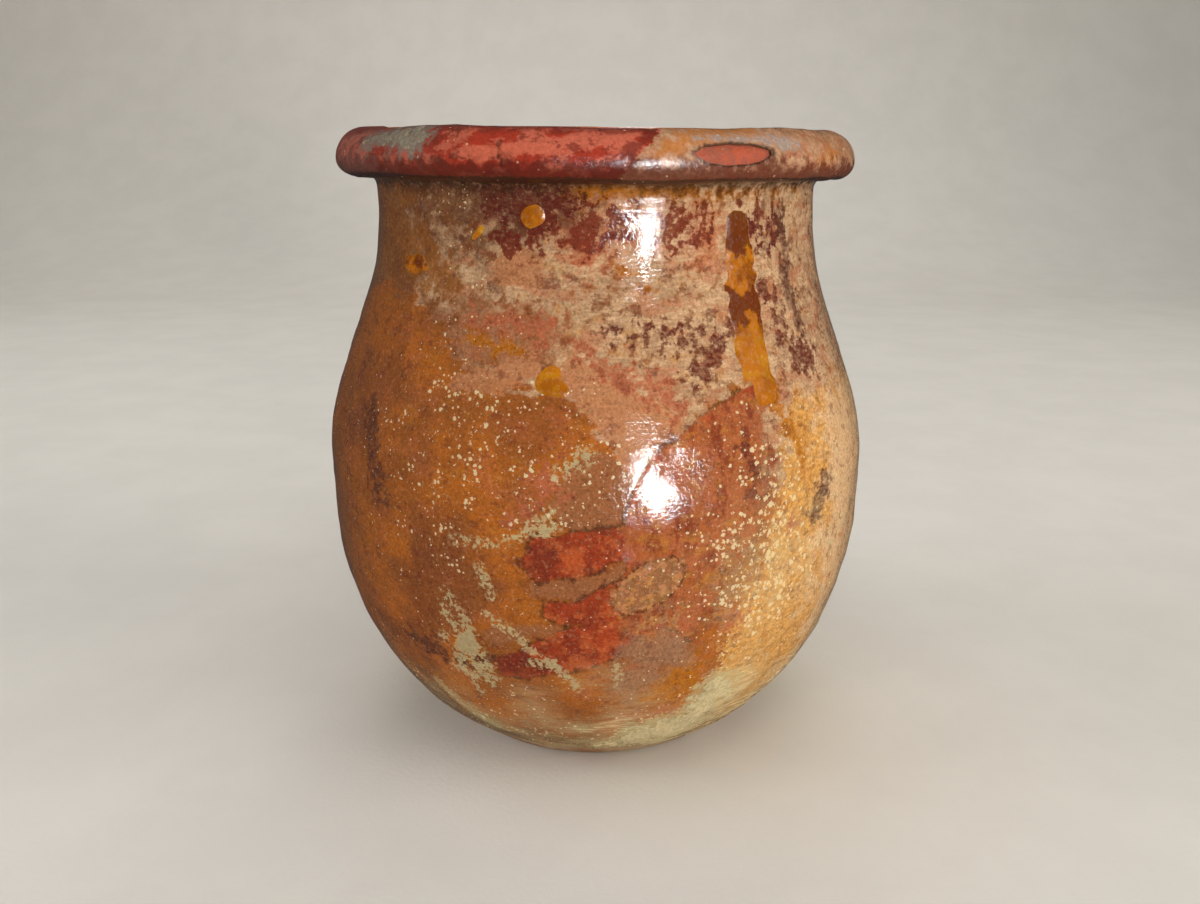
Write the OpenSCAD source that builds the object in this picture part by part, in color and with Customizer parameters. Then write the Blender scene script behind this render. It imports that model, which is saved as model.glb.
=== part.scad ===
// Wide-mouthed preserving jar: one thrown earthenware body, its slip and glaze coats,
// and what has run, dried or splashed on them. Millimetres, +Z up, origin at the
// centre of the foot. Azimuth 0 faces -Y and grows towards +X.

/* [Thrown body] */
// Height of the clay, from the table to the top of the rim
clay_h = 192; // [185:0.5:230]
// Diameter of the foot
foot_d = 98; // [85:1:115]
// Diameter of the clay at the widest part of the belly
belly_d = 174.5; // [165:0.5:200]
// Height of the widest part of the belly
belly_h = 91; // [80:1:105]
// How full the lower wall is: 2 is a parabola, and more is rounder
fullness = 2.8; // [2:0.1:3.6]
// Diameter of the clay at the neck
neck_d = 134.5; // [120:0.5:136]
// Length of the straight collar between the neck and the rim
collar_h = 9.5; // [6:0.5:14]
// Thickness of the clay wall
wall_t = 6; // [4:0.5:8]
// Thickness of the clay floor, down to the table
floor_t = 8; // [6:0.5:12]
// Height over which the inside turns from floor to wall
floor_corner_h = 34; // [20:1:45]

/* [Rolled rim] */
// Outside diameter of the clay rim
rim_d = 158.5; // [158:0.5:170]
// Height of the rim roll
rim_h = 12; // [12:0.5:20]
// Rounding of the rim's upper outside edge
rim_top_r = 8; // [5:0.5:8]
// Rounding of the rim's lower outside edge
rim_under_r = 4; // [2:0.5:4]
// Fillet between the neck and the underside of the rim
neck_fillet_r = 3.5; // [2:0.5:4]
// Rounding of the lip, where the rim turns into the mouth
lip_r = 4; // [2:0.5:4]

/* [Foot] */
// Bevel round the edge of the foot
foot_bevel = 1; // [0.5:0.25:2]
// Width of the ring that the jar stands on
foot_ring_w = 9; // [6:0.5:14]
// Depth of the hollow inside that ring
foot_hollow = 1.5; // [0.5:0.25:3]

/* [Throwing rings] */
// Distance from one throwing ring to the next, inside the belly
ring_pitch = 9; // [7:0.5:14]
// Height of a throwing ring
ring_relief = 0.5; // [0.2:0.1:0.8]

/* [Slip and glaze] */
// Thickness of the pale slip
slip_t = 0.3; // [0.2:0.1:0.6]
// Thickness of the glaze outside
glaze_t = 0.5; // [0.3:0.1:0.8]
// Thickness of the glaze inside, poured in and swilled round
inner_glaze_t = 0.7; // [0.3:0.1:1.2]
// Height of the dipping line, below which the clay is bare
dip_line_h = 9; // [6:0.5:14]
// Width of the marks left by the fingers that held the jar
finger_w = 14; // [10:0.5:18]
// Length of the chip on the rim
chip_l = 22; // [12:1:26]
// Height of the chip on the rim
chip_w = 5; // [4:0.5:7]

/* [Runs and drops] */
// Length of the run of thick glaze down the neck
run_l = 46; // [30:1:55]
// Width of the run at its top
run_top_w = 7; // [5:0.5:9]
// Width of the run at its foot
run_foot_w = 10; // [9:0.5:14]
// How far the run stands proud of the glaze
run_t = 1; // [0.5:0.1:1.5]
// How far a drop stands proud of the glaze
drop_t = 0.8; // [0.5:0.1:1.5]

/* [Lime and mortar] */
// Thickness of the lime crust and splashes
lime_t = 0.4; // [0.3:0.1:0.8]
// Thickness of the mortar on the rim
mortar_t = 0.6; // [0.4:0.1:1]

/* [Hidden] */
$fn = 192;

foot_r = foot_d / 2;
belly_r = belly_d / 2;
neck_r = neck_d / 2;
rim_r = rim_d / 2;
mouth_r = neck_r - wall_t;         // clay at the mouth
rim_z = clay_h - rim_h;            // underside of the rim
neck_h = rim_z - collar_h;         // narrowest part of the neck
fillet_z = rim_z - neck_fillet_r;  // where the neck starts to turn into the rim
coat_t = slip_t + glaze_t;         // slip and glaze together
crust_z = foot_bevel + lime_t;     // lowest edge of the lime, clear of the table
tool_margin = 20;                  // how far cutting tools pass the rim
reach = rim_r + tool_margin;

bare_steps = 4;
wall_steps = 34;
floor_steps = 20;
arc_steps = 8;
steps_per_ring = 6;
floor_flatness = 3;                // how long the floor stays flat before it turns up

// ---------- outline of the thrown clay, up the outside and down the inside ----------

function clamp(v) = min(max(v, 0), 1);
function smooth(v) = clamp(v) * clamp(v) * (3 - 2 * clamp(v));

// Outside radius of the wall at height z, from the foot to the rim
function wall_r(z) = z < belly_h
    ? foot_r + (belly_r - foot_r) * (1 - pow(1 - z / belly_h, fullness))
    : belly_r - (belly_r - neck_r) * smooth((z - belly_h) / (neck_h - belly_h));

// Throwing rings fade in above the floor's corner and fade out below the neck
rings_from = floor_t + floor_corner_h;
function ring(z) = ring_relief * sin(360 * (z - rings_from) / ring_pitch)
    * smooth((z - rings_from) / ring_pitch) * smooth((neck_h - z) / (3 * ring_pitch));

// Inside radius of the wall at height z: a wall's thickness in, rounded to the floor
function inside_r(z) = ring(z) + (wall_r(z) - wall_t)
    * pow(1 - pow(1 - clamp((z - floor_t) / floor_corner_h), 2), 1 / floor_flatness);

// Points of an arc round a centre, from angle a to angle b
function arc(centre, radius, a, b) = [for (i = [0:arc_steps])
    let (t = a + (b - a) * i / arc_steps) centre + radius * [cos(t), sin(t)]];

// Points up the outside from height z0, as far as but without height z1
function wall(z0, z1, steps) = [for (i = [0:steps - 1])
    let (z = z0 + (z1 - z0) * i / steps) [wall_r(z), z]];

// A path without points that repeat the one before
function tidy(path) = [for (i = [0:len(path) - 1])
    if (i == 0 || norm(path[i] - path[max(i - 1, 0)]) > 0.001) path[i]];

function without_last(path) = [for (i = [0:len(path) - 2]) path[i]];

bare_path = wall(crust_z, dip_line_h, bare_steps);
wall_path = wall(dip_line_h, fillet_z, wall_steps);
neck_path = without_last(arc([neck_r + neck_fillet_r, fillet_z], neck_fillet_r, 180, 90));
rim_path = tidy(concat(
    [[neck_r + neck_fillet_r, rim_z]],
    arc([rim_r - rim_under_r, rim_z + rim_under_r], rim_under_r, -90, 0),
    arc([rim_r - rim_top_r, clay_h - rim_top_r], rim_top_r, 0, 90)));

// Inside points keep step with the rings, and crowd together on the floor
inside_steps = ceil((neck_h - rings_from) / ring_pitch * steps_per_ring);
inside_path = concat(
    arc([mouth_r + lip_r, clay_h - lip_r], lip_r, 90, 180),
    [for (i = [0:inside_steps - 1])
        let (z = neck_h - (neck_h - rings_from) * i / inside_steps) [inside_r(z), z]],
    [for (i = [floor_steps:-1:1])
        let (z = floor_t + floor_corner_h * pow(i / floor_steps, floor_flatness))
        [inside_r(z), z]],
    [[0, floor_t + floor_corner_h * pow(1 / floor_steps, floor_flatness)]]);

outline = concat(bare_path, wall_path, neck_path, rim_path, inside_path);

// Where each stretch of the outline ends, at the first point of the next
bare_end = len(bare_path);
wall_end = bare_end + len(wall_path);
neck_end = wall_end + len(neck_path);
rim_end = neck_end + len(rim_path);
inside_end = rim_end + len(inside_path) - 1;

foot_path = [
    [0, foot_hollow],
    [foot_r - foot_ring_w - 2 * foot_hollow, foot_hollow],
    [foot_r - foot_ring_w, 0],
    [foot_r - foot_bevel, 0],
    [wall_r(foot_bevel), foot_bevel]
];

// ---------- coats on the outline ----------

function unit(v) = v / norm(v);
function away(a, b) = let (d = unit(b - a)) [d[1], -d[0]];

// Point i of the outline, moved out from the clay so that both its faces move by t
function out(i, t) = let (
        a = away(outline[max(i - 1, 0)], outline[max(i, 1)]),
        b = away(outline[min(i, inside_end - 1)], outline[min(i + 1, inside_end)]))
    outline[i] + t * (a + b) / (1 + a * b);

// Coat over one stretch of the outline, from t0 to t1 out from the clay
module coat(from, to, t0, t1, azimuth0 = 0, azimuth1 = 360) {
    rotate(azimuth0 - 90) rotate_extrude(angle = azimuth1 - azimuth0)
        polygon(concat([for (i = [from:to]) out(i, t0)],
                       [for (i = [to:-1:from]) out(i, t1)]));
}

// ---------- placing things on the wall ----------

// A flat drawing that faces the wall at one azimuth and height, pushed through it
module through_wall(azimuth, height, tilt = 0) {
    rotate(azimuth) translate([0, 0, height]) rotate([90, 0, 0])
        linear_extrude(reach) rotate(tilt) children();
}

// A bar with round ends, w0 wide at the origin and w1 wide at the other end
module bar(length, w0, w1) {
    circle(d = w0);
    translate([length, 0]) circle(d = w1);
    polygon([[0, -w0 / 2], [length, -w1 / 2], [length, w1 / 2], [0, w0 / 2]]);
}

// Round spots, each [azimuth, height above base, diameter]
module spots(list, base = 0) {
    for (s = list) through_wall(s[0], base + s[1]) circle(d = s[2]);
}

// ---------- what the coats leave bare ----------

// Each finger mark: azimuth and height of the fingertip, length of the mark and its tilt
finger_marks = [[-12, 84, 30, 9], [-9, 68, 30, 13], [-32, 48, 42, 9]];
finger_taper = 3;                  // a mark is this much narrower away from the tip

module finger_windows() {
    for (m = finger_marks)
        through_wall(m[0], m[1], m[3]) bar(m[2], finger_w, finger_w - finger_taper);
}

chip_azimuth = 26.5;

module chip_window() {
    straight = chip_l - chip_w;
    through_wall(chip_azimuth, rim_z + rim_h / 2)
        translate([-straight / 2, 0]) bar(straight, chip_w, chip_w);
}

// The rim has slip on one side only, between these azimuths
rim_slip_from = 12;
rim_slip_to = 150;

// ---------- pieces ----------

module clay_body() {
    color("#b5613c") rotate_extrude() polygon(concat(foot_path, outline));
}

// Pale slip under the outer glaze, missing where the fingers were
module outer_slip() {
    color("#d9b98a") difference() {
        coat(bare_end, neck_end, 0, slip_t);
        finger_windows();
    }
}

module rim_slip() {
    color("#d9b98a") difference() {
        coat(neck_end, rim_end, 0, slip_t, rim_slip_from, rim_slip_to);
        chip_window();
    }
}

// The glaze lies on the slip, and on the clay where the slip is missing
module outer_glaze() {
    color("#b8742f") difference() {
        coat(bare_end, neck_end, 0, coat_t);
        outer_slip();
    }
}

module rim_glaze() {
    color("#a03a26") difference() {
        coat(neck_end, rim_end, 0, coat_t);
        // room for the rim's slip, a little longer and deeper than the slip
        coat(neck_end - 1, rim_end + 1, -slip_t, slip_t, rim_slip_from, rim_slip_to);
        chip_window();
    }
}

module inner_glaze() {
    color("#9a5a26") coat(rim_end, inside_end, 0, inner_glaze_t);
}

run_azimuth = 35;

module glaze_run() {
    color("#c47a12") intersection() {
        coat(bare_end, wall_end, coat_t, coat_t + run_t);
        through_wall(run_azimuth, neck_h, -90) bar(run_l, run_top_w, run_foot_w);
    }
}

// Azimuth, distance below the neck and width of each drop
drops = [[-13, 2, 9], [-27, 6, 6], [-9, 41, 8], [-47, 12, 12]];

// Radius of the ball whose cap is w wide and drop_t high
function ball_r(w) = (w * w / 4 + drop_t * drop_t) / (2 * drop_t);

// Each drop is the cap of a ball that stands proud of the glazed wall
module glaze_drops() {
    color("#d08a1a") difference() {
        for (d = drops) {
            z = neck_h - d[1];
            rotate(d[0]) translate([0, ball_r(d[2]) - drop_t - coat_t - wall_r(z), z])
                sphere(ball_r(d[2]));
        }
        rotate_extrude()
            polygon(concat([[0, crust_z]], [for (i = [0:rim_end]) out(i, coat_t)],
                           [[0, clay_h]]));
    }
}

// Azimuth, height above the dipping line and width of the spots where the lime has
// crept up over the glaze
crust_spots = [
    [4, 3, 9], [10, 6, 11], [17, 10, 12], [24, 15, 12], [30, 20, 11], [35, 25, 8],
    [-40, 10, 7], [-34, 6, 8]
];

module lime_crust() {
    color("#d8cf9a") {
        coat(0, bare_end, 0, lime_t);
        intersection() {
            coat(bare_end, wall_end, coat_t, coat_t + lime_t);
            spots(crust_spots, dip_line_h);
        }
    }
}

// Azimuth, height and width of the spots of the splash, and of its dribbles
splash_spots = [[-25, 51, 11], [-23, 44, 9], [-26, 37, 6], [-28, 58, 5], [-29, 63, 3]];
dribbles = [[-14, 58, -58, 20], [-19, 80, -80, 9]];
dribble_w = 3;

module lime_splash() {
    color("#cfc79a") intersection() {
        coat(bare_end, wall_end, coat_t, coat_t + lime_t);
        union() {
            spots(splash_spots);
            for (d = dribbles)
                through_wall(d[0], d[1], d[2]) bar(d[3], dribble_w, dribble_w);
        }
    }
}

// Azimuth, height above the underside of the rim and width of the spots of mortar
mortar_spots = [[-51, 8.5, 6], [-47, 8, 7], [-43, 8, 7], [-39, 7, 7], [-36, 8, 6]];

module mortar_smear() {
    color("#8d8678") intersection() {
        coat(neck_end, rim_end, coat_t, coat_t + mortar_t);
        spots(mortar_spots, rim_z);
    }
}

clay_body();
outer_slip();
rim_slip();
outer_glaze();
rim_glaze();
inner_glaze();
glaze_run();
glaze_drops();
lime_crust();
lime_splash();
mortar_smear();
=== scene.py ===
"""Looks of a worn earthenware preserving jar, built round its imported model."""

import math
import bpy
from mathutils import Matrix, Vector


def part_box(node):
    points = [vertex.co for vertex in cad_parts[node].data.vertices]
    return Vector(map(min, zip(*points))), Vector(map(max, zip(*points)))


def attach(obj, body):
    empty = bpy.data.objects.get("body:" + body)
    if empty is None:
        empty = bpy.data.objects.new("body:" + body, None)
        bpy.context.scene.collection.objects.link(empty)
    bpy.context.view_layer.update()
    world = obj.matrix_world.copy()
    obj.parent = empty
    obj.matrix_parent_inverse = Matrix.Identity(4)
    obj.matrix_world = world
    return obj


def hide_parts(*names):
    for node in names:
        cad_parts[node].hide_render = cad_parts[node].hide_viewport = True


bl_info = {
    "name": "Earthenware preserving jar",
    "version": (1, 0, 0),
    "blender": (4, 5, 0),
    "location": "View3D > Sidebar > Jar",
    "description": "Builds the jar's clay, slips, glazes, runs, lime and mortar, and its studio",
    "category": "Add Mesh",
}

from types import SimpleNamespace

import bmesh
import bpy
import numpy as np
from bpy.props import FloatProperty, FloatVectorProperty, IntProperty, PointerProperty
from mathutils import Vector

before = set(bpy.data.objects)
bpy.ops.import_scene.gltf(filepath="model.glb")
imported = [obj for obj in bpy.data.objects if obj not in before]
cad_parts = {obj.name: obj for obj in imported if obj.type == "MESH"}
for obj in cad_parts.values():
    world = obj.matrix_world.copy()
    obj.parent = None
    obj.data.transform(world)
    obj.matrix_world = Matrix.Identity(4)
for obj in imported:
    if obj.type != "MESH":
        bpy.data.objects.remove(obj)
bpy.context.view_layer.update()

MM = 0.001
CLAY_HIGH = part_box("clay_body")[1]
UNROLLED = math.radians(1) * 88          # mm of unrolled belly to a degree of azimuth
BODY = "root"
WAVE_R = 80                              # mm: radius on which lumps are counted round the jar
MERGED = 1e-6                            # m: points nearer than this are one
SHARP = math.radians(50)                 # edges sharper than this aren't shaded smooth
BEDDED = 0.15                            # mm that a deposit reaches into the glaze under it
EDGE_T = 0.03                            # mm: thickness of a deposit at its edge
WELL_OUT = 9.0                           # mm: a depth far from any outline


# ---------------------------------------------------------------- properties

def linear(hex_colour):
    """Linear RGB of an sRGB hex colour."""
    channels = [int(hex_colour[i:i + 2], 16) / 255 for i in (1, 3, 5)]
    return tuple(c / 12.92 if c <= 0.04045 else ((c + 0.055) / 1.055) ** 2.4 for c in channels)


def length(name, description, mm):
    """A length property, given in millimetres."""
    return FloatProperty(name=name, description=description, default=mm * MM, unit="LENGTH",
                         precision=5)


def colour(name, description, hex_colour):
    return FloatVectorProperty(name=name, description=description, subtype="COLOR", size=3,
                               min=0, max=1, default=linear(hex_colour))


class JarSizes(bpy.types.PropertyGroup):
    """Sizes of the clay and of its coats."""
    clay_h: length("Clay height", "From the table to the top of the clay rim", CLAY_HIGH.z / MM)
    belly_d: length("Belly", "Diameter of the clay at its widest", 174.5)
    belly_h: length("Belly height", "Height of the widest part", 91)
    foot_d: length("Foot", "Diameter of the foot", 98)
    neck_d: length("Neck", "Diameter of the clay at the neck", 134.5)
    collar_h: length("Collar", "Straight part between neck and rim", 9.5)
    rim_d: length("Rim", "Outside diameter of the clay rim", 158.5)
    rim_h: length("Rim height", "Height of the rolled rim", 12)
    rim_top_r: length("Rim top edge", "Rounding of the rim's upper outside edge", 8)
    rim_under_r: length("Rim lower edge", "Rounding of the rim's lower outside edge", 4)
    neck_fillet_r: length("Neck fillet", "Fillet under the rim", 3.5)
    lip_r: length("Lip", "Rounding where the rim turns into the mouth", 4)
    wall_t: length("Wall", "Thickness of the clay wall", 6)
    floor_t: length("Floor", "Thickness of the clay floor", 8)
    corner_h: length("Floor corner", "Height over which floor turns to wall", 34)
    foot_bevel: length("Foot bevel", "Bevel round the foot", 1)
    foot_ring_w: length("Foot ring", "Width of the ring that the jar stands on", 9)
    foot_hollow: length("Foot hollow", "Depth of the hollow inside the ring", 1.5)
    dip_line_h: length("Dipping line", "Height below which the clay is bare", 9)
    slip_t: length("Slip", "Thickness of the slip", 0.3)
    glaze_t: length("Glaze", "Thickness of the glaze outside", 0.5)
    inner_glaze_t: length("Inner glaze", "Thickness of the glaze inside", 0.7)
    run_t: length("Run", "How far the run stands proud", 1)
    drop_t: length("Drops", "How far a drop stands proud", 0.8)
    lime_t: length("Lime", "Thickness of the lime", 0.4)
    mortar_t: length("Mortar", "Thickness of the mortar", 0.6)
    rim_lean: length("Rim lean", "How much lower the rim is on the right", 1.3)
    fullness: FloatProperty(name="Fullness", description="Roundness of the lower wall",
                            default=2.8)
    columns: IntProperty(name="Columns", description="Faces round the jar", default=360)


class JarColours(bpy.types.PropertyGroup):
    """Colours of the clay, glazes and deposits."""
    clay: colour("Fired clay", "Bare red earthenware", "#ab451a")
    slip: colour("Slip", "Pale slip", "#d8bd94")
    tan: colour("Tan", "Clear glaze over slip", "#d5ae85")
    tan_dark: colour("Dark tan", "Clear glaze over thin slip", "#96643f")
    ochre: colour("Ochre", "Iron-rich glaze over the belly", "#b2631e")
    ochre_dark: colour("Dark ochre", "Iron-rich glaze where it is thin", "#7c4420")
    centre: colour("Brown", "Browned glaze at the front", "#955d39")
    red: colour("Red", "Glaze straight over clay", "#a03c1e")
    red_dark: colour("Dark red", "Glaze over clay where it is thick", "#74281a")
    salmon: colour("Salmon", "Glaze over a wash of slip", "#bd7c52")
    mauve: colour("Mauve", "Dulled glaze above the foot", "#96735a")
    amber: colour("Amber", "Pooled honey glaze", "#b0660a")
    golden: colour("Golden", "Thin honey glaze over slip", "#dc9e50")
    tan_gold: colour("Gold tan", "Dulled honey glaze over slip", "#b8803f")
    honey: colour("Honey", "Yellow tinge of the glaze", "#b5762a")
    orange: colour("Orange", "Thin glaze straight over clay", "#bb5a2c")
    peach: colour("Peach", "Pale glaze on the sheltered side", "#dcb386")
    burgundy: colour("Burgundy", "Manganese blush", "#5c201b")
    # Umber: smoke marks, and also painted shade on the shade mark and on the left of the rim
    umber: colour("Umber", "Smoke marks", "#573024")
    # Dirt is real dirt in cracks and outlines, and also the painted shade under the rim
    dirt: colour("Dirt", "Dirt in cracks and under the rim", "#2e1a10")
    cream: colour("Cream", "Lime specks", "#d2bd8c")
    lime: colour("Lime", "Lime scale", "#b9aa7c")
    yellow: colour("Yellow", "Thickest pooled glaze", "#bd8a1c")
    # Ash: grey bloom along the chip, and also a painted sheen over grey dust on the far left of
    # the rim
    ash: colour("Ash", "Grey bloom on the glaze", "#a0968e")
    mortar: colour("Mortar", "Grey mortar", "#7a7063")
    rim_red: colour("Rim red", "Glaze over the bare clay rim", "#a33420")
    rim_pale: colour("Pale rim red", "Worn glaze over the bare clay rim", "#c4644a")
    # Painted shade: darker red for the rim's lower edge, which faces down away from the light
    rim_shaded_underside: colour("Rim underside", "Glaze over the rim's lower edge", "#5a1c11")
    rim_tan: colour("Rim tan", "Glaze over slip on the rim", "#b98a68")
    amber_rim: colour("Rim orange", "Honey glaze on the rim", "#b97336")
    amber_dark: colour("Dark amber", "Deep pooled glaze", "#622809")
    salmon_red: colour("Salmon red", "Glaze over a thin wash of slip", "#b0603f")
    # Neck colour: the glaze's own dark brown, also laid as painted shade under the rim on the left
    neck: colour("Neck", "Smoked glaze under the rim", "#673d23")
    red_brown: colour("Red brown", "Thin glaze over clay and a trace of slip", "#a4592c")
    foot: colour("Foot", "Dulled glaze by the foot", "#86683f")
    clay_dark: colour("Dark clay", "Smoked earthenware", "#84452c")
    floor: colour("Studio floor", "Matt pale floor", "#e2ddd4")
    floor_shade: colour("Studio floor shade", "Mottle of the floor", "#dad5cc")


def jar():
    """The sizes in millimetres, with the levels and radii worked out from them."""
    group = bpy.context.scene.jar_sizes
    lengths = {key: getattr(group, key) / MM for key in group.__annotations__
               if key not in ("fullness", "columns")}
    s = SimpleNamespace(**lengths, fullness=group.fullness, columns=group.columns)
    s.foot_r, s.belly_r, s.neck_r, s.rim_r = s.foot_d / 2, s.belly_d / 2, s.neck_d / 2, s.rim_d / 2
    s.mouth_r = s.neck_r - s.wall_t
    s.rim_z = s.clay_h - s.rim_h
    s.neck_h = s.rim_z - s.collar_h
    s.fillet_z = s.rim_z - s.neck_fillet_r
    s.coat_t = s.slip_t + s.glaze_t
    return s


def tint(name):
    """A colour of the jar, with alpha."""
    return (*getattr(bpy.context.scene.jar_colours, name), 1)


# ---------------------------------------------------------------- section of the clay

def smooth(v):
    """0 below 0, 1 above 1, and 3v^2 - 2v^3 between."""
    v = np.clip(v, 0, 1)
    return v * v * (3 - 2 * v)


def wall_r(s, z):
    """Outside radius at height z: a power curve up to the belly, a smooth step to the neck."""
    rise = 1 - (1 - np.clip(z / s.belly_h, 0, 1)) ** s.fullness
    low = s.foot_r + (s.belly_r - s.foot_r) * rise
    high = s.belly_r - (s.belly_r - s.neck_r) * smooth((z - s.belly_h) / (s.neck_h - s.belly_h))
    return np.where(z < s.belly_h, low, high)


def inside_r(s, z):
    """Inside radius at height z: a wall's thickness in, with a cube-root corner at the floor."""
    corner = 1 - (1 - np.clip((z - s.floor_t) / s.corner_h, 0, 1)) ** 2
    return (wall_r(s, z) - s.wall_t) * corner ** (1 / 3)


def arc(centre, radius, start, end, count=24):
    """Points of an arc round a centre, from one angle to another, in degrees."""
    t = np.radians(np.linspace(start, end, count))
    return np.array(centre) + radius * np.stack([np.cos(t), np.sin(t)], 1)


class Section:
    """Half section of the clay, from the middle of the foot, up the outside, over the rim and
    down the inside to the middle of the floor. A place on it is its run, the distance along
    the section in mm."""

    def __init__(self, s):
        ring_r = s.foot_r - s.foot_ring_w
        bevel_r = float(wall_r(s, np.array(s.foot_bevel)))
        up = np.linspace(s.foot_bevel, s.fillet_z, 400)
        down = s.neck_h + (s.floor_t - s.neck_h) * (1 - (1 - np.linspace(0, 1, 300)) ** 3)
        parts = {
            "foot": np.array([[0, s.foot_hollow], [ring_r - 2 * s.foot_hollow, s.foot_hollow],
                              [ring_r, 0], [s.foot_r - s.foot_bevel, 0], [bevel_r, s.foot_bevel]]),
            "wall": np.vstack([
                np.stack([wall_r(s, up), up], 1),
                arc([s.neck_r + s.neck_fillet_r, s.fillet_z], s.neck_fillet_r, 180, 90)]),
            "rim": np.vstack([
                arc([s.rim_r - s.rim_under_r, s.rim_z + s.rim_under_r], s.rim_under_r, -90, 0),
                arc([s.rim_r - s.rim_top_r, s.clay_h - s.rim_top_r], s.rim_top_r, 0, 90),
                [[s.mouth_r + s.lip_r, s.clay_h]]]),
            "inside": np.vstack([
                arc([s.mouth_r + s.lip_r, s.clay_h - s.lip_r], s.lip_r, 90, 180),
                np.stack([inside_r(s, down), down], 1)]),
        }
        points = np.vstack(list(parts.values()))
        steps = np.linalg.norm(np.diff(points, axis=0), axis=1)
        kept = np.concatenate([[True], steps > 1e-6])
        runs = np.concatenate([[0], np.cumsum(steps)])
        self.points, self.runs = points[kept], runs[kept]
        ends = np.cumsum([len(part) for part in parts.values()]) - 1
        self.ends = dict(zip(parts, runs[ends]))
        self.dip = self.height(s.dip_line_h)

    def height(self, z):
        """Run at which the outside is at height z."""
        rising = (self.runs >= self.ends["foot"]) & (self.runs <= self.ends["rim"])
        return float(np.interp(z, self.points[rising, 1], self.runs[rising]))

    def at(self, run):
        """Radius, height and outward normal at each run."""
        def point(t):
            return [np.interp(t, self.runs, self.points[:, k]) for k in (0, 1)]
        step = 0.25
        (r, z), (r1, z1), (r0, z0) = point(run), point(run + step), point(run - step)
        across, along = r1 - r0, z1 - z0
        size = np.hypot(across, along)
        return r, z, along / size, -across / size


# ---------------------------------------------------------------- fields on the unrolled wall
# A field is a depth in mm inside a mark on the wall, negative outside the mark. Places are
# (azimuth in degrees, height in mm), azimuth 0 is the front and goes up to the right.

def oval(az, z, at, half, tilt=0):
    """Depth inside an oval: one less the distance from its middle in half widths, in mm."""
    across, up = (az - at[0]) * UNROLLED, z - at[1]
    c, t = math.cos(math.radians(tilt)), math.sin(math.radians(tilt))
    out = np.hypot((across * c + up * t) / half[0], (up * c - across * t) / half[1])
    return (1 - out) * min(half)


def ribbon(az, z, points):
    """Depth inside a ribbon along points of (azimuth, height, half width)."""
    depth = np.full(np.shape(az), -1e3)
    for (a0, z0, w0), (a1, z1, w1) in zip(points, points[1:]):
        du, dz = (a1 - a0) * UNROLLED, z1 - z0
        u, h = (az - a0) * UNROLLED, z - z0
        t = np.clip((u * du + h * dz) / (du * du + dz * dz), 0, 1)
        depth = np.maximum(depth, w0 + (w1 - w0) * t - np.hypot(u - t * du, h - t * dz))
    return depth


def patch(az, z, corners):
    """Depth inside a closed outline whose corners are cut twice: the distance to its nearest
    edge, positive where a line to the side crosses the outline an odd number of times."""
    p = np.array(corners, float) * [UNROLLED, 1]
    for _ in range(2):
        after = np.roll(p, -1, axis=0)
        p = np.stack([0.75 * p + 0.25 * after, 0.25 * p + 0.75 * after], 1).reshape(-1, 2)
    u = az * UNROLLED
    nearest, inside = np.full(u.shape, 1e3), np.zeros(u.shape, bool)
    for (u0, z0), (u1, z1) in zip(p, np.roll(p, -1, axis=0)):
        du, dz = u1 - u0, z1 - z0
        t = np.clip(((u - u0) * du + (z - z0) * dz) / (du * du + dz * dz), 0, 1)
        nearest = np.minimum(nearest, np.hypot(u - u0 - t * du, z - z0 - t * dz))
        crosses = (z0 > z) != (z1 > z)
        inside ^= crosses & (u < u0 + du * (z - z0) / (dz if dz else 1e-9))
    return np.where(inside, nearest, -nearest)


def turned(az, at):
    """Degrees round the jar from an azimuth, the short way."""
    return np.abs((az - at + 180) % 360 - 180)


def union(*fields):
    return np.maximum.reduce(fields)


def lumps(az, along, wavelength, seed, waves=28):
    """Smooth bumps about a wavelength across, mostly between -2 and 2: waves of about that
    length and random heading, added up. Each has a whole number of crests round the jar."""
    draw = np.random.default_rng(seed)
    heading = draw.uniform(0, math.pi, waves)
    number = 2 * math.pi / (wavelength * draw.uniform(0.7, 1.5, waves))
    around = np.round(number * WAVE_R * np.cos(heading))
    up = number * np.sin(heading)
    phase = draw.uniform(0, 2 * math.pi, waves)
    total = np.zeros(np.shape(az))
    for m, q, p in zip(around, up, phase):
        total += np.cos(m * np.radians(az) + q * along + p)
    return total * math.sqrt(2 / waves)


# ---------------------------------------------------------------- marks on the jar
# A list of (azimuth, height, half width) is a ribbon. A list of (azimuth, height) is a closed
# outline, with a number at its end where it is grown. A tuple is an oval: its middle, its half
# widths and maybe its tilt.

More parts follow.
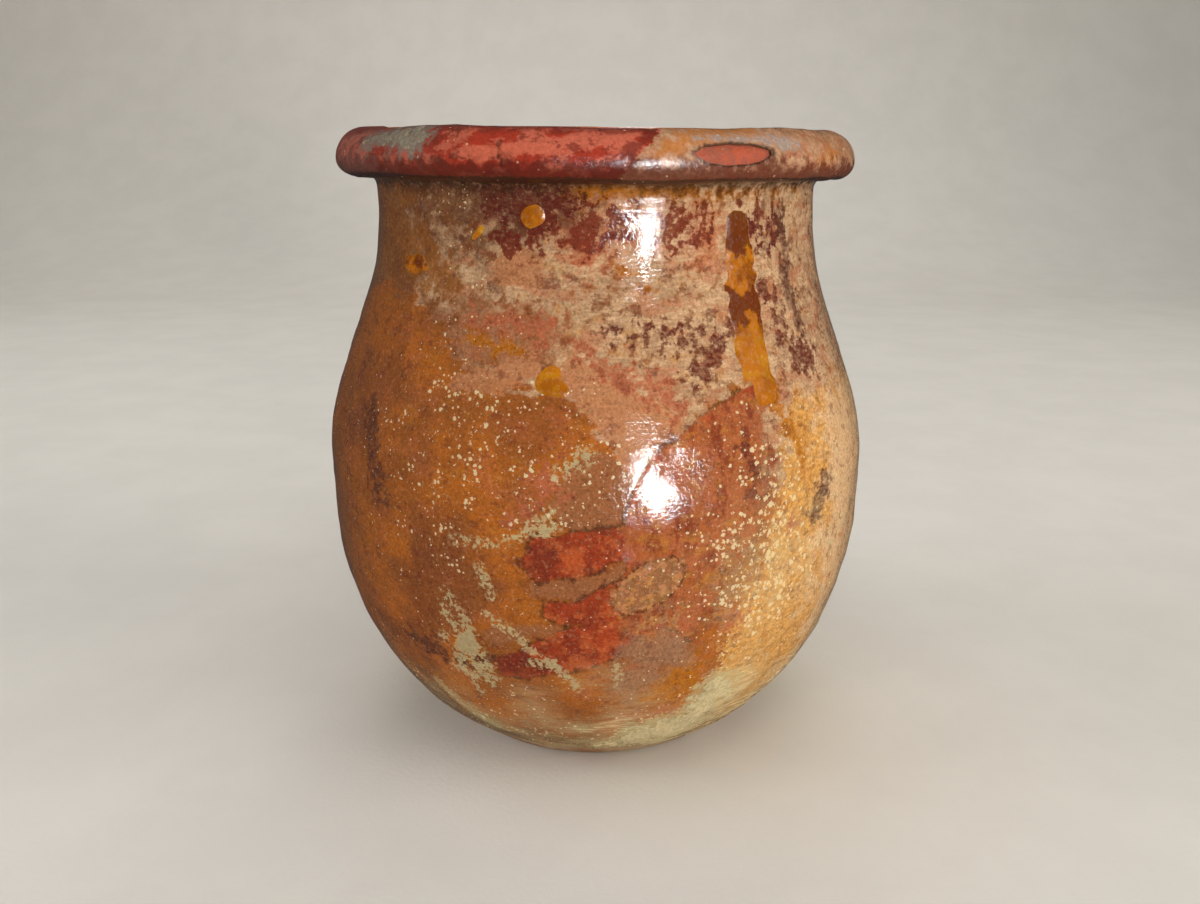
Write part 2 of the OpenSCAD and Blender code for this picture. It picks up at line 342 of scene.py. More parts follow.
SHAPED = {
    # where three fingers held the jar in the dip and kept the slip off
    "fingers": [
        [(-8.8, 83.5, 6.2), (-3, 85, 6.8), (3, 88.2, 5.2), (8, 90.5, 4), (14, 92, 6)],
        [(-7.6, 67.8, 2.8), (-2, 68.5, 4), (3, 71, 4.6), (8, 78, 4), (12, 84, 5)],
        [(-18, 47.6, 3.2), (-11, 51.5, 6), (-4, 56, 7), (1, 60, 7), (5, 63, 6)]],
    # where the slip stopped short at the front, under the run
    "bare_front": [
        [(15, 115), (19, 119.5), (24, 122.5), (30, 126), (37.5, 127), (37, 112), (35.4, 100),
         (34.6, 88), (32, 82), (28, 79), (24, 75), (23, 66), (24, 60), (21, 54), (17, 58),
         (14, 63), (5, 61), (3, 66), (3, 72), (6, 84), (5, 92), (5.5, 98), (7, 104), (10, 111)]],
    # lime crust above the foot
    "crust": [
        [(5, 20), (9, 24), (15, 27.5), (19, 27), (20, 31), (21, 35), (22, 38), (24, 44), (28, 43),
         (33, 38), (34, 33), (29, 28), (27, 20), (25, 12.5), (12, 11), (4, 13)],
        [(-3, 10.5), (4, 17), (9, 17), (11, 10.5)],
        [(-38, 33, 0.2), (-33, 25, 0.4), (-27, 19, 0.7)],
        [(58, 12, 2), (76, 15, 4), (96, 13, 2)],
        [(150, 13, 2), (166, 17, 4), (176, 13, 2)]],
    # splashes of lime: a blot with a web under it, then streaks and spots
    "splashes": [
        [(-28, 52), (-27, 56), (-25, 59), (-23.2, 59), (-22.4, 55), (-22.6, 51.5), (-25, 50.5)],
        [(-29.5, 64.5, 0.2), (-27, 59.5, 0.9)],
        [(-28.6, 70.5, 0.1), (-25.4, 64, 0.4), (-24, 59, 0.7)],
        [(-26.5, 51, 0.9), (-28, 46.5, 0.7), (-25.5, 41.5, 0.4), (-25, 36, 0.5)],
        [(-25, 51, 0.7), (-23.5, 46, 0.8), (-21.5, 41, 0.5)],
        [(-22, 52, 0.6), (-21, 47, 0.8), (-23, 44, 0.4), (-25.5, 41, 0.5)],
        [(-28, 49, 0.4), (-24, 48.5, 0.4), (-20.5, 48, 0.5)],
        [(-30, 44, 0.3), (-26, 43.5, 0.5), (-20, 43, 0.2)],
        [(-20, 65, 0.1), (-15, 60.5, 0.5), (-12.5, 56, 0.7), (-11, 54, 0.6)],
        [(-12, 50.5, 0.6), (-8, 51.3, 1.3), (-6, 47.5, 0.8), (-3.4, 42.5, 0.7)],
        [(-20.6, 79.5, 0.5), (-19.6, 75, 0.9), (-18.6, 70.5, 0.2)],
        [(-26, 86.3, 0.1), (-18, 87, 0.3), (-12.5, 90, 0.3)],
        [(-12, 91.5, 0.4), (-9, 95, 0.3), (-7, 97, 0.3)],
        [(-9.5, 91, 0.4), (-6.8, 92.5, 0.6)],
        [(4.4, 51, 0.4), (4.4, 44, 0.1)],
        ((-30, 54.5), (1.4, 1.2)), ((-1.6, 111.5), (1.8, 1.4)), ((-4, 108), (1.2, 0.8)),
        ((-6.6, 106.3), (1, 0.9))],
    # smear of mortar on the left of the rim
    "mortar": [
        [(-55, 187.6), (-52, 190.6), (-44, 191.9), (-33, 191.9), (-33.5, 188.6), (-36, 185.2),
         (-39, 187), (-46, 187.4)]],
    # thick run of glaze
    "run": [
        [(34.3, 166.5, 5.2), (34.4, 158, 6.2), (34.4, 148, 6.3), (34.6, 138, 6.2),
         (34.2, 130, 5.4), (35.5, 125, 4.5)]],
    # pooled drops of glaze
    "drops": [
        ((-13.4, 170.4), (4, 3)), ((-27.4, 165.4), (2.6, 0.9), 35),
        [(-11.5, 127), (-11, 131), (-9, 133.4), (-6.6, 132.4), (-5.4, 129), (-4.4, 126.2),
         (-8, 125)],
        ((-46, 156.5), (6.5, 2.6))],
    # thin honey glaze on the rim
    "rim_orange": [
        [(11, 185.5, 1.2), (16, 188.5, 2), (26, 191.5, 2.2), (33, 191.5, 1)],
        [(48, 184, 1), (56, 186, 2)]],
    # grey bloom along the chip
    "rim_ash": [
        [(18, 189.2, 0.2), (25, 189.9, 0.7), (33, 189.6, 0.8), (38, 188.8, 1.3),
         (43, 188.6, 0.8)]],
}

PAINTED = {
    # browned front
    "centre": [
        [(-5, 92), (-8, 98), (-6, 105), (-3, 111), (2, 113), (5, 109), (7, 104), (5.5, 97),
         (5, 92), (0, 90)],
        [(-10, 75, 2.5), (-2, 75.5, 3.2), (3, 79, 2), (7, 84, 1)],
        [(-19, 58, 3), (-12, 61.5, 2), (-6, 63, 1)]],
    # a wash of slip
    "salmon": [
        [(-7, 133), (-4, 138), (0, 132), (8, 127), (15, 122), (17, 117), (13, 111), (8, 107),
         (6, 106), (3, 113), (0, 119), (-3, 123), (-5, 127)],
        ((-17, 157), (9, 5)),
        [(-28, 127, 2), (-18, 129, 3.5), (-12, 134, 3)]],
    # red bands and blotches where the slip is thin
    "band": [
        [(-3, 138, 1.2), (2, 133, 2.2), (8, 129, 2.9), (13, 126, 3), (15, 122, 2.5)],
        [(-10.5, 140, 2), (-9, 144, 2.4)],
        [(-27, 145, 1.5), (-20, 143, 2), (-14, 142, 1)],
        ((-8, 104), (5, 5)), ((-13.5, 95), (2, 2)), ((-1.5, 162), (6, 5)), ((39, 86), (2, 2)),
        ((26, 63), (5, 5)),
        [(7, 30.5, 1), (14, 31, 1.8), (20, 30.5, 0.8)]],
    # dulled glaze above the foot
    "mauve": [
        [(4, 38), (5, 50), (6, 58), (10, 63), (16, 62), (19, 55), (17, 50), (13, 46), (10, 38),
         (7, 34)]],
    # darker ends of the finger marks
    "tips": [((-9.5, 83), (5, 6)), ((-15, 49), (9, 5)), [(4, 80, 1), (7, 86, 2), (11, 91, 2)]],
    # honey glaze that gathered
    "amber": [
        [(35, 128, 4.5), (31, 125.3, 1.8), (24, 121.5, 1), (18, 117, 0.5)],
        [(36, 124, 1.8), (38.6, 117, 1.8), (41.5, 109, 2), (43.5, 101, 1), (44, 97, 0.3)],
        [(8, 35), (12, 44), (16, 50), (20, 53), (21, 47), (22, 42), (21, 36), (15, 34)],
        [(-6, 177.5, 1.6), (4, 178, 3.4), (14, 177.5, 2), (35, 177, 0.8), (58, 177, 0.4)],
        [(5, 158, 0.6), (9, 156, 1.6), (13, 153.5, 1.2)],
        [(-27, 139, 1), (-21, 137, 1.4), (-15, 137, 0.8)]],
    # honey glaze thick on the left shoulder
    "pooled": [[(-64, 160, 6), (-52, 160, 7), (-44, 158, 7), (-36, 154, 4), (-31, 150, 1)]],
    # manganese blushes
    "burgundy": [
        [(-25, 179), (-14, 181), (-5, 179), (-5, 174), (-10, 171), (-16, 169), (-21, 168),
         (-24, 171), 2.5],
        [(38, 168, 2), (43, 164, 3), (48, 166, 4)],
        [(19, 130, 1.6), (23, 134, 2.4), (28, 141, 1.8)],
        [(14, 140, 2), (19, 139, 1.8), (25, 140, 1)],
        [(4, 142, 1.6), (9, 141, 2)],
        [(39, 149, 1.5), (44, 147, 2), (43, 137, 2)],
        ((50, 130), (6, 6)),
        [(28, 112, 0.8), (30, 104, 1.6), (29, 97, 0.6)]],
    # smoke marks
    "umber": [
        [(46, 85, 3), (47.4, 90, 4), (49, 95, 3)],
        [(50, 170, 2.5), (51, 158, 3.2), (50, 149, 3.6), (51, 138, 2)],
        [(-50, 116, 2.5), (-47, 106, 4), (-43, 92, 2)],
        [(-39, 50, 2), (-34, 49, 3), (-27, 47, 2), (-20, 51, 0.8)]],
    # worn glaze right of the scar
    "worn": [
        [(22, 84), (30, 84), (33, 78), (30, 68), (24, 60), (22, 68), (23, 76)],
        [(14, 66, 2), (9, 63, 2)]],
    # browned shoulder
    "blush": [
        [(-40, 134), (-38, 144), (-30, 149), (-16, 148), (-6, 146), (-3, 140), (-8, 135),
         (-14, 131), (-24, 129), (-33, 130)]],
    # dark stains round the neck
    "stain": [
        [(-20, 165, 2), (-13, 166, 2.5)],
        [(-8, 168, 2.6), (-2, 167, 4.4), (4, 169, 4.2), (9, 168, 2.4)],
        [(14, 165, 2), (19, 167, 3.2), (24, 168, 2.4)],
        [(36, 170, 1), (41, 168, 3), (46, 166, 3)]],
    # painted shade: soft darker clouds, most on the left of the belly
    "shade": [
        [(-42, 56), (-39, 68), (-33, 73), (-29, 66), (-31, 52), (-36, 46), (-42, 49), 3],
        ((-27, 73), (17, 13)), ((-50, 122), (12, 13)),
        [(-19, 76, 2), (-6, 76, 3), (2, 77, 3)]],
    # warmer neck at the front
    "warm": [((0, 169), (19, 13)), ((24, 166), (9, 9))],
    # fine cracks
    "crack": [
        [(-12, 165, 0.4), (-8, 158, 0.7), (-6, 150, 0.4), (-2, 141, 0.3)],
        [(-16.3, 194, 0.3), (-17.2, 188, 0.5), (-16.6, 181, 0.2)]],
}

# (mark, seed, blotch width, least) of the blotches that carry marks on round the back
BLOTCHES = (("band", 41, 22, 1.6), ("pooled", 42, 30, 1.2), ("burgundy", 43, 24, 1.7),
            ("umber", 44, 30, 1.8))


def drawn(parts, az, z):
    """Depth inside any of several drawn shapes."""
    depths = []
    for part in parts:
        if isinstance(part, tuple):
            depths.append(oval(az, z, *part))
        elif len(part[0]) == 3:
            depths.append(ribbon(az, z, part))
        elif isinstance(part[-1], tuple):
            depths.append(patch(az, z, part))
        else:
            depths.append(patch(az, z, part[:-1]) + part[-1])
    return union(*depths)


def front_right(z):
    """Azimuth at which the bare front gives way to the pale side."""
    return np.interp(z, [58, 64, 70, 76, 80, 88, 100, 112, 122, 127],
                     [23, 24, 25, 26.5, 30, 34, 35.5, 36.5, 37, 38])


def slip_edge(z):
    """Azimuth of the edge of the slip on the front of the rim, a slanting line."""
    return 5 + (z - 182) * 0.8


def bare(s, az, z):
    """Depth inside everything that the slip doesn't cover."""
    on_rim = np.maximum(slip_edge(z) - az, az - 150 - (z - 186)) * UNROLLED
    fingers = drawn(SHAPED["fingers"], az, z) + 0.45 * lumps(az, z, 9, 71)
    return np.where(z > s.rim_z, on_rim, union(fingers, drawn(SHAPED["bare_front"], az, z)))


def chip(az, z):
    """Long chip in the glaze of the rim."""
    return oval(az, z, (26.5, 186.2), (12.2, 2.5), tilt=1) + 0.05 * lumps(az, z, 5, 31)


def scar(az, z):
    """Rough oval where another pot touched in the kiln."""
    return oval(az, z, (9.4, 75.8), (11.2, 6.2), tilt=30)


def shoulder_line(az):
    """Height at which the slipped shoulder gives way to the browned belly, wavy behind."""
    wave = 5 * lumps(az, 0 * az, 34, 53) * smooth((turned(az, 0) - 58) / 20)
    at = [-150, -100, -60, -44, -32, -22, -12, -8, -5.5, -3, 0, 3, 6, 8, 16]
    line = [134, 140, 150, 149, 138, 128, 127, 131, 127, 122, 119, 113, 104, 99, 92]
    return wave + np.interp(az, at, line, period=360)


def sheltered(az, z):
    """Depth inside the pale side of the jar, right of the front and below the shoulder."""
    edge = np.interp(z, [20, 45, 58, 70, 82, 95, 112, 124], [30, 26, 25, 28, 33, 36, 38.5, 43])
    far = 136 + 6 * lumps(0 * az, z, 30, 52)
    return np.minimum(np.minimum(az - edge, far - az) * UNROLLED, 121 - z)


def around(az, z, seed, size, least):
    """Depth inside blotches scattered over the parts of the jar that the front marks miss."""
    elsewhere = smooth((np.abs(az) - 74) / 10)
    return (lumps(az, z, size, seed) - least) * size / 6 * elsewhere - 4 * (1 - elsewhere)


def marks(s, az, z):
    """Every mark on the outside, as the depth inside it."""
    fields = {mark: drawn(parts, az, z) for mark, parts in PAINTED.items()}
    for mark, seed, size, least in BLOTCHES:
        fields[mark] = union(fields[mark], around(az, z, seed, size, least))
    lime = union(drawn(SHAPED["splashes"], az, z) + 0.3, drawn(SHAPED["crust"], az, z) + 1.5)
    return {
        **fields, "bare": bare(s, az, z), "belly": shoulder_line(az) - z, "limed": lime,
        "golden": sheltered(az, z), "peach": np.minimum(sheltered(az, z), (az - 49) * UNROLLED),
        "front": (front_right(z) - az) * UNROLLED, "scar": scar(az, z),
        # left: the left side, darker partly in its own glaze and partly as painted shade away from
        # the light
        "left": (52 - turned(az, -90)) * 1.2 - np.maximum(z - 150, 0) * 0.6,
    }


def lime_haze(az, z):
    """How thickly lime lies: most by the foot and on the sheltered side, some elsewhere."""
    foot = smooth((52 + 5 * lumps(az, z, 30, 51) - z) / 32)
    foot *= 1 - 0.5 * np.exp(-((az + 5) / 9) ** 2 - ((z - 14) / 8) ** 2)
    sheltered_side = np.exp(-((az - 38) / 16) ** 2 - ((z - 74) / 30) ** 2)
    back = 0.25 * smooth((np.abs(az) - 70) / 30) * smooth((130 - z) / 50)
    # more lime low on the right and round the back: real lime, and partly a painted reflection of
    # the pale floor
    right = smooth((turned(az, -90) - 62) / 34)
    return 0.1 + (0.48 + 0.3 * right) * foot + 0.5 * sheltered_side + back


def lime_specks(az, z):
    """How often lime specks lie: most on the front of the belly and on the sheltered side."""
    front = np.exp(-((az + 6) / 14) ** 2 - ((z - 108) / 17) ** 2)
    left = np.exp(-((az + 30) / 16) ** 2 - ((z - 110) / 36) ** 2)
    right = np.exp(-((az - 32) / 14) ** 2 - ((z - 84) / 34) ** 2)
    neck = np.exp(-((az + 27) / 9) ** 2 - ((z - 175) / 5) ** 2)
    fewer = 1 - 0.6 * smooth((z - 125) / 20) * (np.abs(az + 27) > 12)
    return (0.16 + 0.5 * lime_haze(az, z) + 0.5 * front + 0.45 * left + 0.6 * right
            + 0.15 * neck) * fewer


def body_relief(s, az, run, z):
    """Lift of the outside of the clay in mm: hand-made lumps, throwing rings and a slight
    flare under the rim."""
    sure = smooth((z - s.foot_bevel) / 12)
    rings = ((0.014 + 0.024 * np.exp(-((z - 122) / 13) ** 2))
             * np.sin(2 * math.pi * (z / 3.4 + az / 360))
             * smooth((z - 92) / 30) * smooth((s.fillet_z - z) / 8))
    shape = (0.24 * lumps(az, run, 46, 1) + 0.08 * lumps(az, run, 15, 2)
             + 0.025 * lumps(az, run, 6, 3))
    flare = 0.004 * np.clip(z - 169, 0, 9) ** 2 * smooth((181 - z) / 3)
    return sure * shape + rings + flare


def coat_relief(s, az, run, z):
    """Lift of the slip's face in mm: the body's, a step down where the slip is missing with a
    ridge round it, and the rough scar."""
    missing = bare(s, az, z)
    step = s.slip_t * smooth(0.5 + missing / 1.2)
    ridge = 0.12 * np.exp(-(missing / 0.9) ** 2) * (z < s.rim_z)
    rough = 0.17 * lumps(az, run, 3.4, 4) * smooth(scar(az, z) / 1.5)
    return body_relief(s, az, run, z) - step + ridge + rough


def inside_relief(s, az, run, z):
    """Lift of the inside in mm: throwing rings below the neck, and lumps that die away round
    the middle of the floor, where all azimuths meet."""
    rings = (0.35 * np.sin(2 * math.pi * (z / 9 + az / 360))
             * smooth((z - s.floor_t - s.corner_h) / 9) * smooth((s.neck_h - z) / 27))
    lumpy = 0.2 * lumps(az, run, 40, 5) * smooth((z - s.floor_t) / 0.6)
    return smooth((s.clay_h - s.lip_r - z) / 8) * (lumpy + rings)


# ---------------------------------------------------------------- meshes

def spot(s, line, az, run, lift, relief):
    """Points in metres, off the clay by a lift and a relief along its normal. The rim leans:
    its height goes down with the sine of the azimuth."""
    r, z, nr, nz = line.at(run)
    off = lift + relief(s, az, run, z)
    radius, height, turn = r + off * nr, z + off * nz, np.radians(az)
    height = height - s.rim_lean / 2 * np.sin(turn) * smooth((height - s.neck_h + 30) / 45)
    return np.stack([radius * np.sin(turn), -radius * np.cos(turn), height], -1) * MM


def whole_round(first, last, rows, columns):
    """Azimuth and run of a grid right round the jar. Columns are closer together at the front:
    their spacing goes as 1 - 0.35 cos(turn)."""
    turn = np.linspace(-180, 180, columns, endpoint=False)
    az = turn - 0.35 * np.degrees(np.sin(np.radians(turn)))
    run, az = np.meshgrid(np.linspace(first, last, rows), az, indexing="ij")
    return az, run


def quads(shape, wrap):
    """Corner numbers of a grid's faces, anticlockwise seen from outside."""
    m, n = shape
    i, j = np.meshgrid(np.arange(m - 1), np.arange(n if wrap else n - 1), indexing="ij")
    right = (j + 1) % n
    return np.stack([i * n + j, i * n + right, (i + 1) * n + right, (i + 1) * n + j], -1)


def beside(keep, axis, step, wrap):
    """Whether the next face in one direction is kept too."""
    moved = np.roll(keep, -step, axis)
    if not (wrap and axis == 1):
        edge = [slice(None), slice(None)]
        edge[axis] = -1 if step > 0 else 0
        moved[tuple(edge)] = False
    return moved


def shell_faces(shape, keep, wrap):
    """Faces of a shell: an outer skin, an inner skin turned round, and a wall along every
    edge where the kept faces end."""
    face = quads(shape, wrap)
    under = shape[0] * shape[1]
    faces = [face[keep], face[keep][:, ::-1] + under]
    for k, (axis, step) in enumerate([(0, -1), (1, 1), (0, 1), (1, -1)]):
        ends = keep & ~beside(keep, axis, step, wrap)
        p, q = face[ends][:, k], face[ends][:, (k + 1) % 4]
        faces.append(np.stack([q, p, p + under, q + under], -1))
    return np.vstack(faces)


def fitted(az, run, field):
    """Moves the grid's outermost points inside a mark onto its outline, along the field's
    slope, so that the outline is smooth. Returns the new grid and which faces to keep, leaving
    out faces that would touch another only at a corner."""
    depth = field(az, run)
    within = depth >= 0
    padded = np.pad(within, 1, mode="edge")
    m, n = within.shape
    hemmed = np.ones_like(within)
    for i in range(3):
        for j in range(3):
            hemmed &= padded[i:i + m, j:j + n]
    border = within & ~hemmed
    e = 0.05
    slope_u = (field(az + e / UNROLLED, run) - depth) / e
    slope_v = (field(az, run + e) - depth) / e
    steep = np.maximum(slope_u ** 2 + slope_v ** 2, 0.25)
    back = np.where(border, -np.minimum(depth, 1) / steep, 0)
    keep = within[:-1, :-1] & within[1:, :-1] & within[1:, 1:] & within[:-1, 1:]
    for _ in range(3):
        for here, far, side, other in (
                (np.s_[:-1, :-1], np.s_[1:, 1:], np.s_[1:, :-1], np.s_[:-1, 1:]),
                (np.s_[1:, :-1], np.s_[:-1, 1:], np.s_[:-1, :-1], np.s_[1:, 1:])):
            keep[here] &= ~(keep[far] & ~keep[side] & ~keep[other])
    return az + back * slope_u / UNROLLED, run + back * slope_v, keep


def make(name, points, faces, fields, material, replaced):
    """Makes a piece from points and four-cornered faces, with fields on its points. Points in
    the same place, as at a pole, are merged."""
    points = points.reshape(-1, 3)
    used, faces = np.unique(faces, return_inverse=True)
    mesh = bpy.data.meshes.new(name)
    mesh.from_pydata(points[used].tolist(), [], faces.reshape(-1, 4).tolist())
    for key, values in fields.items():
        skins = len(points) // np.size(values)
        values = np.tile(np.ravel(values), skins)[used].astype(np.float32)
        mesh.attributes.new(key, "FLOAT", "POINT").data.foreach_set("value", values)
    merged = bmesh.new()
    merged.from_mesh(mesh)
    bmesh.ops.remove_doubles(merged, verts=merged.verts, dist=MERGED)
    merged.to_mesh(mesh)
    merged.free()
    mesh.shade_smooth()
    mesh.set_sharp_from_angle(angle=SHARP)
    mesh.materials.append(material)
    piece = bpy.data.objects.new(name, mesh)
    bpy.context.scene.collection.objects.link(piece)
    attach(piece, BODY)
    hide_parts(*replaced)
    return piece


def deposit(s, line, field, low, high, step, under, thick, round_w):
    """A crust or run on the outside, wherever a field is above 0, between two corners of
    (azimuth, height). It is thick mm high and its edge is rounded over round_w mm. Returns its
    points, its faces and the heights of its points."""
    first, last = line.height(low[1]), line.height(high[1])
    rows = int((last - first) / step) + 2
    columns = int((high[0] - low[0]) * UNROLLED / step) + 2
    run, az = np.meshgrid(np.linspace(first, last, rows), np.linspace(low[0], high[0], columns),
                          indexing="ij")

    def depth(az, run):
        return field(az, line.at(run)[1])

    az, run, keep = fitted(az, run, depth)
    rise = 1 - (1 - np.clip(depth(az, run) / round_w, 0, 1)) ** 2
    outer = spot(s, line, az, run, under + EDGE_T + thick * rise, coat_relief)
    inner = spot(s, line, az, run, under - BEDDED, coat_relief)
    return np.stack([outer, inner]), shell_faces(az.shape, keep, False), line.at(run)[1]


# ---------------------------------------------------------------- materials

def node(tree, kind, inputs=(), **settings):
    """Adds a shader node with its settings. Each input is a value, or another node's output."""
    made = tree.nodes.new("ShaderNode" + kind)
    for key, value in settings.items():
        setattr(made, key, value)
    for key, value in dict(inputs).items():
        if isinstance(value, bpy.types.NodeSocket):
            tree.links.new(value, made.inputs[key])
        else:
            made.inputs[key].default_value = value
    return made


def start(name):
    """A new material, with its node tree and its shader."""
    material = bpy.data.materials.new(name)
    material.use_nodes = True
    return material, material.node_tree, material.node_tree.nodes["Principled BSDF"]


def mottle(tree, size, squeeze=1, low=0.36, high=0.64, detail=5, rough=0.6, shift=0):
    """Cloudy pattern from 0 to 1, its clouds size mm wide and squeeze times less high."""
    where = node(tree, "TexCoord").outputs["Object"]
    moved = node(tree, "Mapping",
                 {"Vector": where, "Location": (shift, shift, shift), "Scale": (1, 1, squeeze)})
    clouds = node(tree, "TexNoise",
                  {"Vector": moved.outputs[0], "Scale": 1 / (size * MM), "Detail": detail,
                   "Roughness": rough})
    return node(tree, "MapRange",
                {"Value": clouds.outputs["Fac"], "From Min": low, "From Max": high},
                interpolation_type="SMOOTHSTEP").outputs[0]


def wash(tree, under, over, pattern, strength=1.0):
    """Lays one colour over another as strongly as a pattern says. A colour is the name of one
    of the jar's, or another node's output."""
    under, over = (tint(c) if isinstance(c, str) else c for c in (under, over))
    cover = node(tree, "Math", {0: pattern, 1: strength}, operation="MULTIPLY")
    return node(tree, "Mix", {0: cover.outputs[0], 6: under, 7: over},
                data_type="RGBA").outputs[2]


def within(tree, mark, pattern, ragged=1.0, edge=0.6, grow=0.0):
    """How fully a mark covers: 1 inside it and 0 outside, fading over edge mm each way. The
    pattern moves the edge up to ragged mm each way, and grow moves it outwards."""
    depth = node(tree, "Attribute", attribute_name=mark).outputs["Fac"]
    moved = node(tree, "Math", {0: pattern, 1: 2 * ragged, 2: depth},
                 operation="MULTIPLY_ADD")
    return node(tree, "MapRange",
                {"Value": moved.outputs[0], "From Min": ragged - edge - grow,
                 "From Max": ragged + edge - grow}, interpolation_type="SMOOTHSTEP").outputs[0]


def washes(tree, colour, *layers):
    """Lays colours over one another in turn. A layer is a colour, its strength and its pattern,
    or a mark and the rest of what `within` takes in place of the pattern."""
    for over, strength, *where in layers:
        pattern = within(tree, *where) if isinstance(where[0], str) else where[0]
        colour = wash(tree, colour, over, pattern, strength)
    return colour


def flecks(tree, size, share, pattern, shift=0):
    """Scattered flecks in cells size mm wide. A fleck reaches out from its cell's point by a
    random part of share, in cells, and further where the pattern is bright."""
    where = node(tree, "TexCoord").outputs["Object"]
    moved = node(tree, "Mapping", {"Vector": where, "Location": (shift, shift, shift)})
    cell = node(tree, "TexVoronoi",
                {"Vector": moved.outputs[0], "Scale": 1 / (size * MM)})
    chance = node(tree, "SeparateColor", {"Color": cell.outputs["Color"]})
    lot = node(tree, "Math", {0: chance.outputs[0], 1: share}, operation="MULTIPLY")
    uneven = node(tree, "MapRange", {"Value": pattern, "To Min": 0.55, "To Max": 1.3})
    radius = node(tree, "Math", {0: lot.outputs[0], 1: uneven.outputs[0]},
                  operation="MULTIPLY")
    inside = node(tree, "Math", {0: radius.outputs[0], 1: cell.outputs["Distance"]},
                  operation="SUBTRACT")
    return node(tree, "MapRange",
                {"Value": inside.outputs[0], "From Min": -0.02, "From Max": 0.07},
                interpolation_type="SMOOTHSTEP").outputs[0]


def finish_surface(tree, shader, colour, gloss, dull, dulled, bumps, height):
    """Colour, roughness from gloss to dull, and bumps height mm high."""
    rough = node(tree, "MapRange", {"Value": dulled, "To Min": gloss, "To Max": dull})
    bump = node(tree, "Bump",
                {"Height": bumps, "Strength": 1.0, "Distance": height * MM})
    tree.links.new(colour, shader.inputs["Base Color"])
    tree.links.new(rough.outputs[0], shader.inputs["Roughness"])
    tree.links.new(bump.outputs[0], shader.inputs["Normal"])


